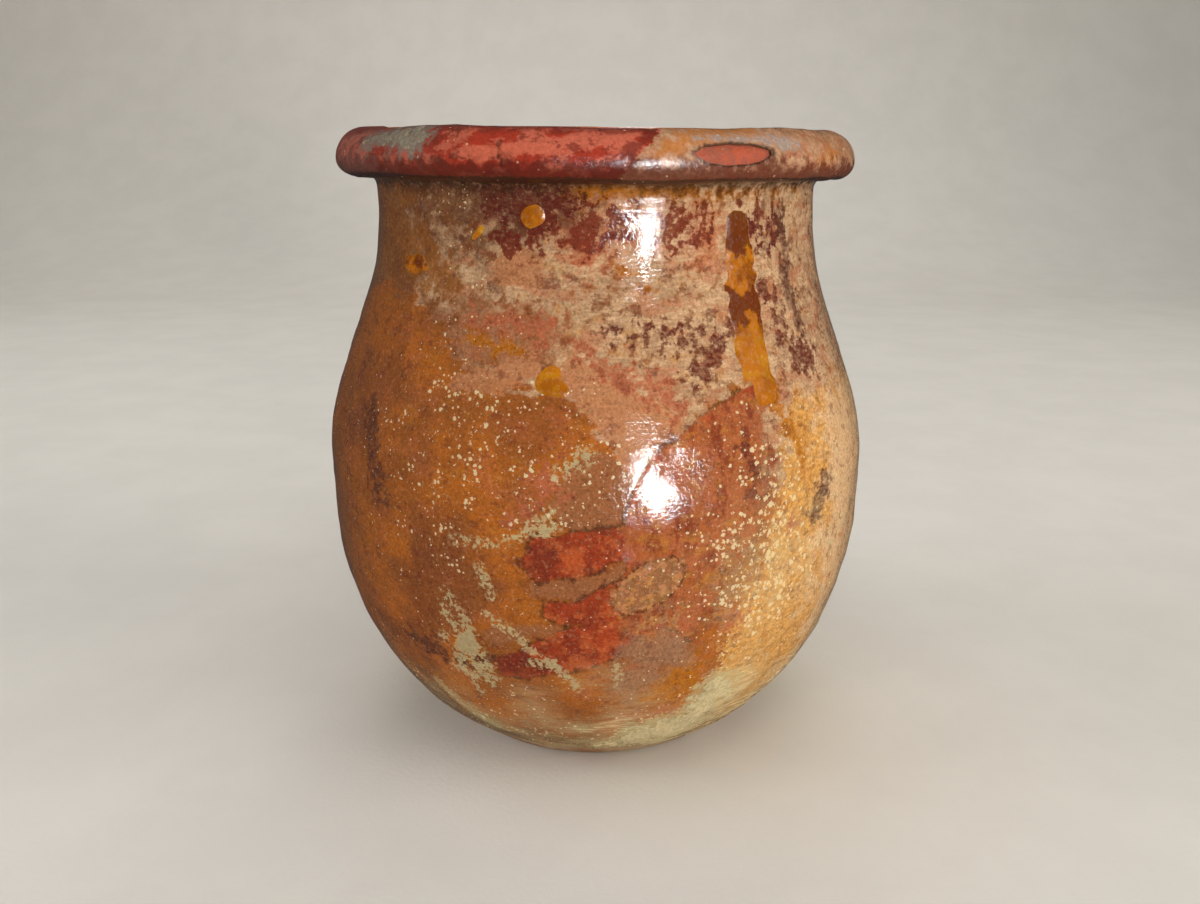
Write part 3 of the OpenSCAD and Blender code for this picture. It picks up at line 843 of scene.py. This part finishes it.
def outer_glaze_material():
    """Lead glaze over slip, dipped by hand and fired with wood. It is glossy with small pits,
    mottled by iron and manganese, red where it lies straight on the clay, and specked with
    lime."""
    material, tree, shader = start("Honey lead glaze over slip")
    streak = mottle(tree, 14, squeeze=3.2, shift=2)
    brushed = mottle(tree, 6, squeeze=7, shift=34)
    drift = mottle(tree, 24, low=0.4, high=0.6, detail=3, shift=35)
    cloud = mottle(tree, 8, shift=3)
    small = mottle(tree, 3.2, shift=4)
    fine = mottle(tree, 1.3, low=0.4, high=0.6, shift=5)
    grain = mottle(tree, 2, squeeze=1.6, low=0.42, high=0.58, shift=28)
    rare = mottle(tree, 6, squeeze=1.8, low=0.54, high=0.66, shift=6)
    dots = mottle(tree, 0.9, low=0.58, high=0.68, detail=3, shift=29)
    grit = mottle(tree, 0.8, detail=3, shift=36)
    patchy = mottle(tree, 7, squeeze=1.3, low=0.42, high=0.6, detail=8, rough=0.75, shift=39)

    # dark neck colour, laid under the rim on the left partly as painted shade
    neck = washes(tree, "neck", ("umber", 0.8, patchy),
                  ("tan", 0.35, mottle(tree, 4, low=0.54, high=0.62, shift=40)))
    # colour of the left side: the glaze's darker tone, partly painted shade away from the light
    left = washes(tree, "ochre_dark", ("honey", 0.4, streak))
    blush = washes(tree, "ochre_dark", ("salmon_red", 0.6, brushed))
    honeyed = washes(tree, "ochre_dark", ("honey", 0.5, small))
    colour = washes(
        tree, "tan", ("tan_dark", 0.4, brushed), ("neck", 0.34, patchy), ("honey", 0.45, rare),
        ("salmon_red", 0.5, mottle(tree, 9, squeeze=2, low=0.5, high=0.6, shift=30)),
        ("burgundy", 0.6, mottle(tree, 6, squeeze=1.4, low=0.55, high=0.63, rough=0.7, shift=7)),
        # neck mark: painted shade under the rim on the left, over the glaze's own brown
        ("orange", 0.4, "warm", small, 5, 6), (neck, 0.9, "neck", cloud, 9, 12, 5),
        # left mark: darker left side, partly painted shade
        (left, 0.85, "left", cloud, 12, 12), (blush, 0.75, "blush", small, 3, 4),
        (honeyed, 0.85, "pooled", small, 4, 4))

    belly = washes(
        tree, "ochre", ("ochre_dark", 0.6, drift), ("ochre_dark", 0.3, brushed),
        ("honey", 0.3, rare),
        ("salmon_red", 0.3, mottle(tree, 11, squeeze=1.4, low=0.5, high=0.64, shift=45)))
    sheltered = washes(
        tree, "golden", ("tan_gold", 0.75, grain), ("peach", 0.85, "peach", cloud, 8, 8),
        ("ochre", 0.45, rare), ("cream", 0.6, mottle(tree, 4, low=0.54, high=0.7, shift=37)))
    salmon = washes(tree, "salmon", ("tan_dark", 0.35, brushed))
    banded = node(tree, "MapRange", {"Value": grain, "To Min": 0.7, "To Max": 0.95})
    colour = washes(
        tree, colour, (belly, 1.0, "belly", streak, 3, 1.4),
        # neck colour over the left side: partly painted shade away from the light
        ("neck", 0.35, "left", cloud, 12, 14), ("red_brown", 0.2, "shade", cloud, 6, 6),
        # umber here and red brown on the line before, on the shade mark: painted shade
        ("umber", 0.4, "shade", drift, 6, 8), (sheltered, 1.0, "golden", small, 3, 1.5),
        ("centre", 0.9, "centre", fine, 0.6), (salmon, 0.85, "salmon", fine, 0.8),
        ("salmon_red", banded.outputs[0], "band", small, 3, 1.4),
        ("amber", 0.9, "amber", small, 2, 1.6))

    covered = within(tree, "front", cloud, 4, 4, -3)
    thinned = washes(
        tree, "red_brown", ("salmon_red", 0.45, streak),
        ("red_dark", 0.75, mottle(tree, 4, squeeze=0.4, low=0.48, high=0.64, shift=38)),
        ("honey", 0.6, rare))
    red = washes(
        tree, "red", ("red_dark", 0.7, cloud),
        ("orange", 0.7, mottle(tree, 5, low=0.46, high=0.6, shift=31)),
        ("burgundy", 0.6, "tips", small, 2, 2), (thinned, 1.0, "front_bare", small, 3, 3),
        ("tan_dark", 0.6, mottle(tree, 2, low=0.56, high=0.68, shift=9)))
    for over, strength, edge in (
            ("dirt", 0.7, within(tree, "bare", small, 0.7, 0.6, 0.3)),
            (red, 1.0, within(tree, "bare", fine, 0.35, 0.4, -0.3))):
        bared = node(tree, "Math", {0: edge, 1: covered}, operation="MULTIPLY")
        colour = wash(tree, colour, over, bared.outputs[0], strength)

    browned = washes(tree, "tan_gold", ("mauve", 0.8, grain))
    blotched = node(tree, "MapRange", {"Value": grain, "To Min": 0.6, "To Max": 0.95})
    scab = washes(
        tree, "salmon", ("tan_gold", 0.8, small),
        ("umber", 0.45, mottle(tree, 2.4, squeeze=1.3, low=0.44, high=0.5, detail=2, shift=32)),
        ("cream", 0.6, dots))
    foot = washes(tree, "foot", ("lime", 0.7, streak))
    haze = node(tree, "Attribute", attribute_name="haze").outputs["Fac"]
    wiped = node(tree, "Math", {0: brushed, 1: streak}, operation="ADD")
    wiped = node(tree, "Math", {0: wiped.outputs[0], 1: 0.4, 2: 0.12},
                 operation="MULTIPLY_ADD")
    thin = node(tree, "Math", {0: haze, 1: haze}, operation="MULTIPLY")
    thin = node(tree, "Math", {0: thin.outputs[0], 1: wiped.outputs[0]},
                operation="MULTIPLY")
    limed = within(tree, "limed", fine, 1.3, 0.8)
    chalky = node(tree, "Math", {0: limed, 1: brushed, 2: limed},
                  operation="MULTIPLY_ADD")
    often = node(tree, "Attribute", attribute_name="specks").outputs["Fac"]
    clustered = node(tree, "Math",
                     {0: mottle(tree, 9, low=0.42, high=0.62, shift=43), 1: 0.62, 2: 0.3},
                     operation="MULTIPLY_ADD")
    share = node(tree, "Math", {0: often, 1: clustered.outputs[0]}, operation="MULTIPLY")
    specks = flecks(tree, 1.5, share.outputs[0], grit, shift=10)
    crumbs = node(tree, "TexNoise",
                  {"Vector": node(tree, "TexCoord").outputs["Object"],
                   "Scale": 1 / (2.2 * MM), "Detail": 4, "Roughness": 0.65})
    raised = node(tree, "Math", {0: often, 1: 0.13, 2: crumbs.outputs["Fac"]},
                  operation="MULTIPLY_ADD")
    spots = node(tree, "MapRange",
                 {"Value": raised.outputs[0], "From Min": 0.735, "From Max": 0.765}).outputs[0]
    lime = node(tree, "Math", {0: specks, 1: spots}, operation="MAXIMUM").outputs[0]
    colour = washes(
        tree, colour, (browned, 0.6, "worn", small, 4, 1.5), ("mauve", 0.65, "mauve", cloud, 5, 7),
        ("red_dark", 0.85, "stain", small, 5, 1.6),
        ("burgundy", blotched.outputs[0], "burgundy", small, 4, 1.8),
        ("umber", blotched.outputs[0], "umber", small, 2.5, 1.8),
        ("dirt", 0.55, "scar", small, 0.4, 0.3, 0.4), (scab, 0.9, "scar", fine, 0.6, 0.5),
        ("cream", 0.35, "crack", small, 0.6, 0.4), (foot, 0.7, "foot", cloud, 8, 8),
        # dark band under the rim: painted shade under the rim's overhang, with some real grime
        ("dirt", 0.8, "shade_and_grime", small, 2, 3), ("dirt", 0.3, grit),
        ("tan", 0.17, mottle(tree, 1, low=0.54, high=0.66, detail=4, rough=0.7, shift=46)),
        ("dirt", 0.4, dots), ("cream", 1.1, thin.outputs[0]), ("lime", 0.42, chalky.outputs[0]),
        ("cream", 0.8, lime))

    matt = node(tree, "Math", {0: thin.outputs[0], 1: lime}, operation="ADD")
    pits = node(tree, "Math", {0: fine, 1: 0.45, 2: lime}, operation="MULTIPLY_ADD")
    bumps = node(tree, "Math", {0: brushed, 1: 0.35, 2: pits.outputs[0]},
                 operation="MULTIPLY_ADD")
    finish_surface(tree, shader, colour, 0.05, 0.6, matt.outputs[0], bumps.outputs[0], 0.045)
    return material


def rim_glaze_material():
    """The same glaze on the rim: bright brick red straight on the clay, tan over slip, worn
    paler on the turn of the rim."""
    material, tree, shader = start("Lead glaze on the rim")
    streak = mottle(tree, 12, squeeze=3, shift=2)
    small = mottle(tree, 3.2, shift=4)
    fine = mottle(tree, 1.3, low=0.4, high=0.6, shift=5)
    grit = mottle(tree, 0.8, detail=3, shift=36)
    specks = flecks(tree, 2.6, 0.13, fine, shift=13)
    red = washes(
        tree, "rim_red",
        ("rim_pale", 0.9, mottle(tree, 9, squeeze=1.8, low=0.46, high=0.54, shift=11)),
        ("red_dark", 0.75, mottle(tree, 6, squeeze=1.5, low=0.52, high=0.6, rough=0.7, shift=41)))
    colour = washes(
        tree, "rim_tan", ("tan_dark", 0.8, small),
        ("salmon_red", 0.5, mottle(tree, 5, squeeze=1.7, low=0.5, high=0.64, shift=12)),
        ("cream", 0.4, mottle(tree, 1.2, low=0.55, high=0.66, shift=44)),
        (red, 1.0, "bare", fine, 0.6, 0.4), ("red_dark", 0.8, "seam", small, 1.5, 1),
        # the rim's lower edge darkened as painted shade
        ("amber_rim", 0.85, "orange", small, 1.6, 1.4), ("rim_shaded_underside", 0.8, "low", small, 1.4, 1.4),
        # left of the rim: umber partly as painted shade, and a little ash as painted sheen over
        # grey dust
        ("umber", 0.38, "left", small, 5, 12), ("ash", 0.1, "left", small, 5, 4, -24),
        ("red_dark", 0.7, "top", small, 0.6, 0.6), ("ash", 0.7, "ashen", small, 0.8, 0.8),
        ("mortar", 0.8, "dusty", small, 1.6, 1.4), ("dirt", 0.8, "chip", fine, 0.15, 0.3, 0.35),
        # dark edge of the rim's underside by the neck: painted shade under the rim, with some real
        # grime
        ("dirt", 0.6, "crack", small, 0.5, 0.3), ("dirt", 0.85, "shade_and_grime", fine, 0.4, 0.8),
        ("dirt", 0.22, grit), ("cream", 0.5, specks))
    pits = node(tree, "Math", {0: fine, 1: 0.5, 2: streak}, operation="MULTIPLY_ADD")
    finish_surface(tree, shader, colour, 0.27, 0.5, specks, pits.outputs[0], 0.07)
    return material


def inner_glaze_material():
    """Clear lead glaze poured inside: honey brown, with small pits and darker rings."""
    material, tree, shader = start("Poured lead glaze inside")
    small = mottle(tree, 4, shift=15)
    fine = mottle(tree, 1.3, low=0.4, high=0.6, shift=5)
    colour = washes(
        tree, "ochre", ("red", 0.6, mottle(tree, 22, squeeze=4, shift=14)),
        ("ochre_dark", 0.6, small), ("dirt", 0.7, flecks(tree, 5, 0.3, fine, shift=16)))
    finish_surface(tree, shader, colour, 0.16, 0.35, small, fine, 0.05)
    return material


def thick_glaze_material():
    """Glaze that ran and pooled: clear amber, browner where it is deep, and very glossy."""
    material, tree, shader = start("Pooled amber glaze")
    cloud = mottle(tree, 7, low=0.42, high=0.58, shift=17)
    fine = mottle(tree, 1.3, low=0.4, high=0.6, shift=5)
    yellowed = node(tree, "Math",
                    {0: node(tree, "Attribute", attribute_name="yellow").outputs["Fac"],
                     1: mottle(tree, 4, low=0.48, high=0.62, shift=18)}, operation="MULTIPLY")
    colour = washes(
        tree, "amber", ("amber_dark", 0.4, cloud), ("yellow", 1.0, yellowed.outputs[0]),
        ("amber_dark", 0.9, "burnt", cloud, 3, 2.5))
    finish_surface(tree, shader, colour, 0.1, 0.3, fine, fine, 0.03)
    return material


def slip_material():
    """Pale slip, a thin wash of fine white clay: matt and even, brushed a little."""
    material, tree, shader = start("White slip")
    streak = mottle(tree, 12, squeeze=4, shift=19)
    colour = wash(tree, "slip", "tan", streak, 0.4)
    finish_surface(tree, shader, colour, 0.75, 0.85, streak, mottle(tree, 0.8), 0.03)
    return material


def clay_material():
    """Low-fired red earthenware, thrown and scraped: matt, with sand grains and turning marks,
    and grey with lime and dirt under the foot."""
    material, tree, shader = start("Red earthenware")
    cloud = mottle(tree, 9, shift=20)
    grit = mottle(tree, 0.9, detail=3, shift=22)
    soiled = wash(tree, "foot", "lime", cloud, 0.8)
    colour = washes(
        tree, "clay", ("clay_dark", 0.6, cloud),
        ("clay_dark", 0.5, mottle(tree, 2.5, low=0.5, high=0.6, shift=42)),
        ("cream", 0.15, flecks(tree, 2.2, 0.2, cloud, shift=21)),
        (soiled, 0.7, "foot", cloud, 3, 3))
    finish_surface(tree, shader, colour, 0.6, 0.85, grit, grit, 0.12)
    return material


def lime_material():
    """Lime scale from damp walls: chalky, cream to greenish grey, thin and crumbly."""
    material, tree, shader = start("Lime scale")
    fine = mottle(tree, 1.1, shift=24)
    dull = node(tree, "Attribute", attribute_name="dull").outputs["Fac"]
    colour = washes(tree, "lime", ("cream", 0.8, mottle(tree, 6, shift=23)), ("foot", 0.45, fine),
                    ("foot", 0.5, dull))
    finish_surface(tree, shader, colour, 0.8, 0.95, fine, fine, 0.15)
    return material


def mortar_material():
    """Smear of lime mortar: grey, sandy and matt."""
    material, tree, shader = start("Grey mortar")
    sand = mottle(tree, 0.8, low=0.42, high=0.58, shift=26)
    colour = washes(tree, "mortar", ("umber", 0.4, mottle(tree, 5, shift=25)), ("lime", 0.3, sand))
    finish_surface(tree, shader, colour, 0.85, 0.95, sand, sand, 0.2)
    return material


def floor_material():
    """Matt painted board: pale and even, with a faint mottle and no shine."""
    material, tree, shader = start("Matt pale board")
    shader.inputs["Specular IOR Level"].default_value = 0
    cloud = mottle(tree, 60, shift=27)
    colour = wash(tree, "floor", "floor_shade", cloud, 0.5)
    finish_surface(tree, shader, colour, 0.7, 0.8, cloud, mottle(tree, 1.5), 0.03)
    return material


# ---------------------------------------------------------------- pieces

def jar_and_section():
    """The jar's sizes, and the half section of its clay."""
    s = jar()
    return s, Section(s)


class JAR_OT_clay(bpy.types.Operator):
    """Makes the clay body, one closed surface: a foot, wall, rim and inside turned round."""
    bl_idname = "jar.clay"
    bl_label = "Clay body"

    def execute(self, context):
        s, line = jar_and_section()
        ends = [0, line.ends["foot"], line.ends["wall"], line.ends["rim"], line.ends["inside"]]
        counts = [14, 84, 22, 70]
        run = np.concatenate([np.linspace(a, b, n, endpoint=False)
                              for a, b, n in zip(ends, ends[1:], counts)] + [ends[-1:]])
        az, _ = whole_round(0, 1, 2, 240)
        run, az = np.meshgrid(run, az[0], indexing="ij")
        outside = run <= line.ends["rim"]
        r, z, _, _ = line.at(run)
        points = np.where(outside[..., None], spot(s, line, az, run, 0, body_relief),
                          spot(s, line, az, run, 0, inside_relief))
        turning = 0.12 * np.sin(2 * math.pi * r / 3.2) * (run < line.ends["foot"]) * (z > 0.5)
        points[..., 2] += turning * MM
        points[[0, -1]] = points[[0, -1]].mean(axis=1, keepdims=True) * (0, 0, 1)
        faces = quads(run.shape, True).reshape(-1, 4)
        make("clay", points, faces, {"foot": s.dip_line_h + 3 - z}, clay_material(),
             ["clay_body"])
        return {"FINISHED"}


def coat_shell(s, line, first, last, rows, columns, low, high, covered=None):
    """Points and faces of a coat right round the jar, from low to high mm off the slip's face,
    kept where covered is above 0."""
    az, run = whole_round(first, last, rows, columns)
    keep = np.ones((rows - 1, columns), bool)
    if covered:
        az, run, inner = fitted(az, run, covered)
        keep[:, :-1] = inner
    points = np.stack([spot(s, line, az, run, high, coat_relief),
                       spot(s, line, az, run, low, coat_relief)])
    return az, run, points, shell_faces(run.shape, keep, True)


class JAR_OT_slips(bpy.types.Operator):
    """Makes the two coats of slip under the glaze: thin shells that stop at the finger marks
    and at the red part of the rim."""
    bl_idname = "jar.slips"
    bl_label = "Slips"

    def execute(self, context):
        s, line = jar_and_section()

        def slipped(az, run):
            z = line.at(run)[1]
            chipped = np.where((z > s.rim_z + 1) & (np.abs(az) < 60), chip(az, z) + 0.4, -WELL_OUT)
            return -union(bare(s, az, z), chipped)

        material = slip_material()
        for name, ends, rows in (("slip_outside", (line.dip, line.ends["wall"]), 90),
                                 ("slip_on_rim", (line.ends["wall"], line.ends["rim"]), 22)):
            _, _, points, faces = coat_shell(s, line, *ends, rows, 240, 0, s.slip_t, slipped)
            make(name, points, faces, {}, material,
                 ["outer_slip" if name == "slip_outside" else "rim_slip"])
        return {"FINISHED"}


class JAR_OT_outer_glaze(bpy.types.Operator):
    """Makes the glaze outside: a shell over the slip that steps down where there is none."""
    bl_idname = "jar.outer_glaze"
    bl_label = "Outside glaze"

    def execute(self, context):
        s, line = jar_and_section()
        az, run, points, faces = coat_shell(s, line, line.dip, line.ends["wall"], 134,
                                            s.columns, s.slip_t, s.coat_t)
        z = line.at(run)[1]
        fields = {**marks(s, az, z), "haze": lime_haze(az, z), "specks": lime_specks(az, z),
                  "front_bare": drawn(SHAPED["bare_front"], az, z), "foot": 20 - z,
                  # neck: the left of the neck under the rim, darkened partly as painted shade
                  "neck": (z - 162) - 0.9 * np.maximum(turned(az, -90) - 68, 0),
                  # band just under the rim that carries painted shade and some grime
                  "shade_and_grime": z - 177.6}
        make("glaze_outside", points, faces, fields, outer_glaze_material(),
             ["outer_glaze"])
        return {"FINISHED"}


class JAR_OT_rim_glaze(bpy.types.Operator):
    """Makes the glaze on the rim: a shell with a long chip that shows the clay."""
    bl_idname = "jar.rim_glaze"
    bl_label = "Rim glaze"

    def execute(self, context):
        s, line = jar_and_section()

        def whole(az, run):
            z = line.at(run)[1]
            near = (run < line.ends["rim"]) & (np.abs(az - 26.5) < 20)
            return np.where(near, -chip(az, z), WELL_OUT)

        az, run, points, faces = coat_shell(s, line, line.ends["wall"], line.ends["rim"], 44,
                                            s.columns, s.slip_t, s.coat_t, whole)
        r, z, _, _ = line.at(run)
        fields = {
            # low is the rim's lower edge, where the painted shade is laid
            "bare": bare(s, az, z), "chip": chip(az, z), "low": 184.4 - z,
            "seam": np.where(np.abs(az) < 60, 2.6 - np.abs(slip_edge(z) - 2 - az) * UNROLLED, -5),
            # left: the rim's left side, given painted shade and a painted sheen
            "crack": drawn(PAINTED["crack"], az, z), "left": (66 - turned(az, -94)) * 1.2,
            "orange": drawn(SHAPED["rim_orange"], az, z),
            "dusty": drawn(SHAPED["mortar"], az, z) + 1,
            "ashen": drawn(SHAPED["rim_ash"], az, z),
            "top": np.where(az < slip_edge(z), z - 191, -5),
            # underside of the rim that carries painted shade and some grime
            "shade_and_grime": np.where(r < s.rim_r - 1.5, 181.4 - z, 180.4 - z),
        }
        make("glaze_on_rim", points, faces, fields, rim_glaze_material(),
             ["rim_glaze"])
        return {"FINISHED"}


class JAR_OT_inner_glaze(bpy.types.Operator):
    """Makes the glaze inside: a shell over the lip, down the ringed wall and over the floor."""
    bl_idname = "jar.inner_glaze"
    bl_label = "Inside glaze"

    def execute(self, context):
        s, line = jar_and_section()
        rows = 110
        az, run = whole_round(line.ends["rim"], line.ends["inside"], rows, s.columns)
        points = np.stack([spot(s, line, az, run, s.inner_glaze_t, inside_relief),
                           spot(s, line, az, run, 0, inside_relief)])
        points[:, -1, :, :2] = 0
        keep = np.ones((rows - 1, s.columns), bool)
        make("glaze_inside", points, shell_faces(run.shape, keep, True)[:-s.columns], {},
             inner_glaze_material(), ["inner_glaze"])
        return {"FINISHED"}


class JAR_OT_runs(bpy.types.Operator):
    """Makes the run of thick glaze down the front and the drops of it: each a rounded ridge
    over its outline."""
    bl_idname = "jar.runs"
    bl_label = "Run and drops"

    def execute(self, context):
        s, line = jar_and_section()
        material = thick_glaze_material()

        def run_down(az, z):
            middle = drawn(SHAPED["run"], az, z)
            return middle + 0.3 * lumps(az, z, 9, 61) + 0.3 * lumps(az, z, 4, 69)

        def drops(az, z):
            return drawn(SHAPED["drops"], az, z) + 0.25 * lumps(az, z, 5, 62)

        for name, field, low, high, step, thick, round_w, node_name in (
                ("thick_run", run_down, (28, 116), (41, 176), 0.5, s.run_t * 0.4, 5, "glaze_run"),
                ("thick_drops", drops, (-54, 122), (-2, 175), 0.33, s.drop_t * 0.4, 2,
                 "glaze_drops")):
            points, faces, z = deposit(s, line, field, low, high, step, s.coat_t, thick, round_w)
            burnt = np.maximum(z - 160, 4 - np.abs(z - 147))
            if name == "thick_drops":
                burnt = -0.5 - np.abs(z - 156.5)
            yellow = np.interp(z, [134, 150, 158, 162], [0.35, 0, 0, 0.8])
            make(name, points, faces, {"burnt": burnt, "yellow": yellow}, material,
                 [node_name])
        return {"FINISHED"}


class JAR_OT_lime(bpy.types.Operator):
    """Makes the lime crust above the foot and the lime splashes: thin ragged sheets."""
    bl_idname = "jar.lime"
    bl_label = "Lime"

    def execute(self, context):
        s, line = jar_and_section()
        material = lime_material()

        def crust(az, z):
            ragged = 1.6 * lumps(az, 2.2 * z, 9, 63) + 0.9 * lumps(az, z, 3, 64)
            return drawn(SHAPED["crust"], az, z) - 1.8 + ragged

        def splash(az, z):
            ragged = 0.35 * lumps(az, z, 3, 65) + 0.4 * lumps(az, z, 1.5, 66)
            return drawn(SHAPED["splashes"], az, z) - 0.4 + ragged

        for name, field, low, high, step, node_name in (
                ("lime_scale", crust, (-180, 9.5), (180, 47), 0.9, "lime_crust"),
                ("lime_splatter", splash, (-34, 34), (8, 116), 0.42, "lime_splash")):
            points, faces, z = deposit(s, line, field, low, high, step, s.coat_t,
                                       s.lime_t * 0.6, 1)
            make(name, points, faces, {"dull": 0 * z + (name == "lime_splatter")}, material,
                 [node_name])
        return {"FINISHED"}


class JAR_OT_mortar(bpy.types.Operator):
    """Makes the smear of mortar on the left of the rim: a thin ragged sheet."""
    bl_idname = "jar.mortar"
    bl_label = "Mortar"

    def execute(self, context):
        s, line = jar_and_section()

        def smear(az, z):
            ragged = 0.5 * lumps(az, z, 4, 67) + 0.35 * lumps(az, z, 1.8, 68)
            return drawn(SHAPED["mortar"], az, z) - 0.7 + ragged

        points, faces, _ = deposit(s, line, smear, (-58, 184), (-28, 191.95), 0.5, s.coat_t,
                                   s.mortar_t * 0.6, 1.2)
        make("mortar_patch", points, faces, {}, mortar_material(), ["mortar_smear"])
        return {"FINISHED"}


class JAR_OT_stage(bpy.types.Operator):
    """Makes the studio: a pale floor that curves up into a backdrop, soft lights, a bright
    panel whose reflection shows in the glaze, and the camera."""
    bl_idname = "jar.stage"
    bl_label = "Studio"

    def execute(self, context):
        scene = context.scene
        bend = np.radians(np.linspace(0, 90, 24))
        depth, reach, radius = 1.6, 3.0, 0.6
        y = np.concatenate([[-reach], depth - radius + radius * np.sin(bend), [depth]])
        z = np.concatenate([[0], radius * (1 - np.cos(bend)), [reach]])
        x = np.linspace(-reach, reach, 9)
        points = np.stack([np.broadcast_to(x, (len(y), 9)), np.repeat(y, 9).reshape(-1, 9),
                           np.repeat(z, 9).reshape(-1, 9)], -1)
        board = floor_material()
        for name, part in (("studio_floor", points[:2]), ("studio_backdrop", points[1:])):
            mesh = bpy.data.meshes.new(name)
            mesh.from_pydata(part.reshape(-1, 3).tolist(), [],
                             quads(part.shape[:2], False).reshape(-1, 4).tolist())
            mesh.shade_smooth()
            mesh.materials.append(board)
            sheet = bpy.data.objects.new(name, mesh)
            scene.collection.objects.link(sheet)
            sheet.visible_glossy = False

        belly = Vector((0, 0, 0.1))
        for name, azimuth, height, away, size, power, warmth in (
                ("window_glint", 22.5, 0.2, 1.6, (0.22, 0.3), 40, (0.94, 0.98, 1)),
                ("window", 22.5, 0.17, 1.6, (0.32, 0.38), 4, (1, 0.98, 0.95)),
                ("soft_right", 70, 0.8, 1.7, (1.2, 1.2), 3.8, (1, 0.97, 0.92)),
                ("soft_top", 10, 1.9, 0.5, (1.6, 1.6), 12, (0.97, 0.98, 1)),
                ("soft_back", 180, 1.2, 1.2, (1.2, 0.6), 5, (0.97, 0.98, 1)),
                ("soft_left", -84, 0.7, 2.0, (1.2, 1.2), 5.4, (0.95, 0.97, 1))):
            turn = math.radians(azimuth)
            light = bpy.data.lights.new(name, "AREA")
            light.shape, light.size, light.size_y = "RECTANGLE", *size
            light.energy, light.color = power, warmth
            narrow = name in ("window", "soft_right", "soft_left")
            light.spread = math.radians(90 if narrow else 180)
            lamp = bpy.data.objects.new(name, light)
            lamp.location = (away * math.sin(turn), -away * math.cos(turn), height)
            lamp.visible_glossy = name == "window_glint"
            lamp.visible_diffuse = name != "window_glint"
            lamp.visible_camera = False
            lamp.rotation_euler = (belly - lamp.location).to_track_quat("-Z", "Y").to_euler()
            scene.collection.objects.link(lamp)

        world = bpy.data.worlds.new("Soft daylight")
        world.use_nodes = True
        world.node_tree.nodes["Background"].inputs["Color"].default_value = (0.95, 0.93, 0.9, 1)
        path = node(world.node_tree, "LightPath")
        seen = node(world.node_tree, "MapRange",
                    {"Value": path.outputs["Is Camera Ray"], "To Min": 0.2, "To Max": 0.7})
        mirrored = node(world.node_tree, "Math",
                        {0: path.outputs["Is Glossy Ray"], 1: -0.15, 2: seen.outputs[0]},
                        operation="MULTIPLY_ADD")
        world.node_tree.links.new(mirrored.outputs[0],
                                  world.node_tree.nodes["Background"].inputs["Strength"])
        scene.world = world
        scene.view_settings.view_transform = "Standard"

        lens = bpy.data.cameras.new("camera")
        lens.lens, lens.sensor_width = 30, 36
        camera = bpy.data.objects.new("camera", lens)
        camera.location = (0.0015, -0.331, 0.187)
        camera.rotation_euler = (math.radians(90 - 16.8), 0, 0)
        scene.collection.objects.link(camera)
        scene.camera = camera
        return {"FINISHED"}


class JAR_PT_panel(bpy.types.Panel):
    """Lists the jar's sizes, colours and pieces."""
    bl_idname = "JAR_PT_panel"
    bl_label = "Earthenware jar"
    bl_space_type = "VIEW_3D"
    bl_region_type = "UI"
    bl_category = "Jar"

    def draw(self, context):
        for operator in OPERATORS:
            self.layout.operator(operator.bl_idname)
        for group in (context.scene.jar_sizes, context.scene.jar_colours):
            box = self.layout.box()
            for key in group.__annotations__:
                box.prop(group, key)


OPERATORS = (JAR_OT_clay, JAR_OT_slips, JAR_OT_outer_glaze, JAR_OT_rim_glaze,
             JAR_OT_inner_glaze, JAR_OT_runs, JAR_OT_lime, JAR_OT_mortar, JAR_OT_stage)
CLASSES = (JarSizes, JarColours, *OPERATORS, JAR_PT_panel)


def register():
    for kind in CLASSES:
        bpy.utils.register_class(kind)
    bpy.types.Scene.jar_sizes = PointerProperty(type=JarSizes)
    bpy.types.Scene.jar_colours = PointerProperty(type=JarColours)


def unregister():
    del bpy.types.Scene.jar_colours
    del bpy.types.Scene.jar_sizes
    for kind in reversed(CLASSES):
        bpy.utils.unregister_class(kind)


def main():
    """Builds the pieces in order, then the studio."""
    register()
    for piece in ("clay", "slips", "outer_glaze", "rim_glaze", "inner_glaze", "runs", "lime",
                  "mortar", "stage"):
        getattr(bpy.ops.jar, piece)()


if __name__ == "__main__":
    main()
